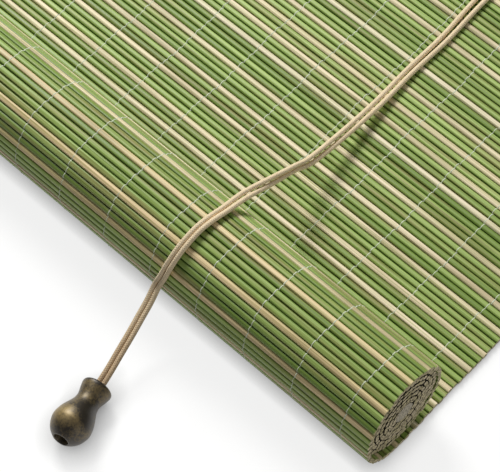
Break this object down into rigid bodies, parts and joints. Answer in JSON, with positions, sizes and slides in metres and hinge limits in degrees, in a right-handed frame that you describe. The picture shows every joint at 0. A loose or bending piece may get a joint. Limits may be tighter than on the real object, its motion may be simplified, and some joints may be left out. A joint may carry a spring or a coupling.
{
  "type": "roll up blind",
  "caption": "Bamboo slat roll-up window blind, its lower end rolled up, with head rail, cord lock and a pair of pull cords that end in a turned bronze knob.",
  "frame": {"origin": "on the floor under the middle of the blind as it lies, free cords and knob left out", "axes": "+X along the slats to the end with the pull cords, +Y up the blind to the head rail, +Z out of its front"},
  "size_m": [0.9, 0.5439, 0.0576],
  "materials": {
    "bamboo": "stained green and natural slats, satin",
    "rod_wood": "plain",
    "rail_wood": "plain, lightly oiled",
    "zinc": "zinc plated",
    "sheave_plastic": "moulded",
    "cord_cotton": "braided cotton",
    "knob_bronze": "aged, polished on the high spots"
  },
  "bodies": {
    "blind": {"flat_mat": "bamboo", "head_rail": "rail_wood", "rail_nails": "zinc", "hanger_left": "zinc", "hanger_right": "zinc", "hanger_screws": "zinc", "lock_frame": "zinc", "lock_pin": "zinc", "cam_pin": "zinc", "frame_screws": "zinc", "pull_cord_left": "cord_cotton", "pull_cord_right": "cord_cotton", "pull_knob": "knob_bronze", "pull_knot": "cord_cotton"},
    "rod": {"bottom_rod": "rod_wood"},
    "roll": {"roll_turns": "bamboo"},
    "sheave_lower": {"lock_sheave_lower": "sheave_plastic"},
    "sheave_upper": {"lock_sheave_upper": "sheave_plastic"},
    "cam": {"lock_cam": "sheave_plastic"}
  },
  "joints": [
    {"name": "roll_rise", "type": "slide", "parent": "blind", "child": "rod", "axis": [0, 0.9999, 0.0167], "range_m": [0, 0.28], "deforming": ["pull_cord_left", "pull_cord_right"]},
    {"name": "roll_turn", "type": "hinge", "parent": "rod", "child": "roll", "pos_m": [0, -0.20285, 0.028], "axis": [-1, 0, 0], "range_deg": [0, 605]},
    {"name": "sheave_lower_spin", "type": "hinge", "parent": "blind", "child": "sheave_lower", "pos_m": [0.31095, 0.19115, 0.021], "axis": [0, 0, -1], "continuous": true},
    {"name": "sheave_upper_spin", "type": "hinge", "parent": "blind", "child": "sheave_upper", "pos_m": [0.31095, 0.19115, 0.0273], "axis": [0, 0, -1], "continuous": true},
    {"name": "cam_release", "type": "hinge", "parent": "blind", "child": "cam", "pos_m": [0.3275, 0.18615, 0.024], "axis": [0, 0, 1], "range_deg": [0, 25]}
  ],
  "couplings": [
    {"joint": "roll_turn", "follows": "roll_rise", "rad_per_m": 37.378}
  ]
}
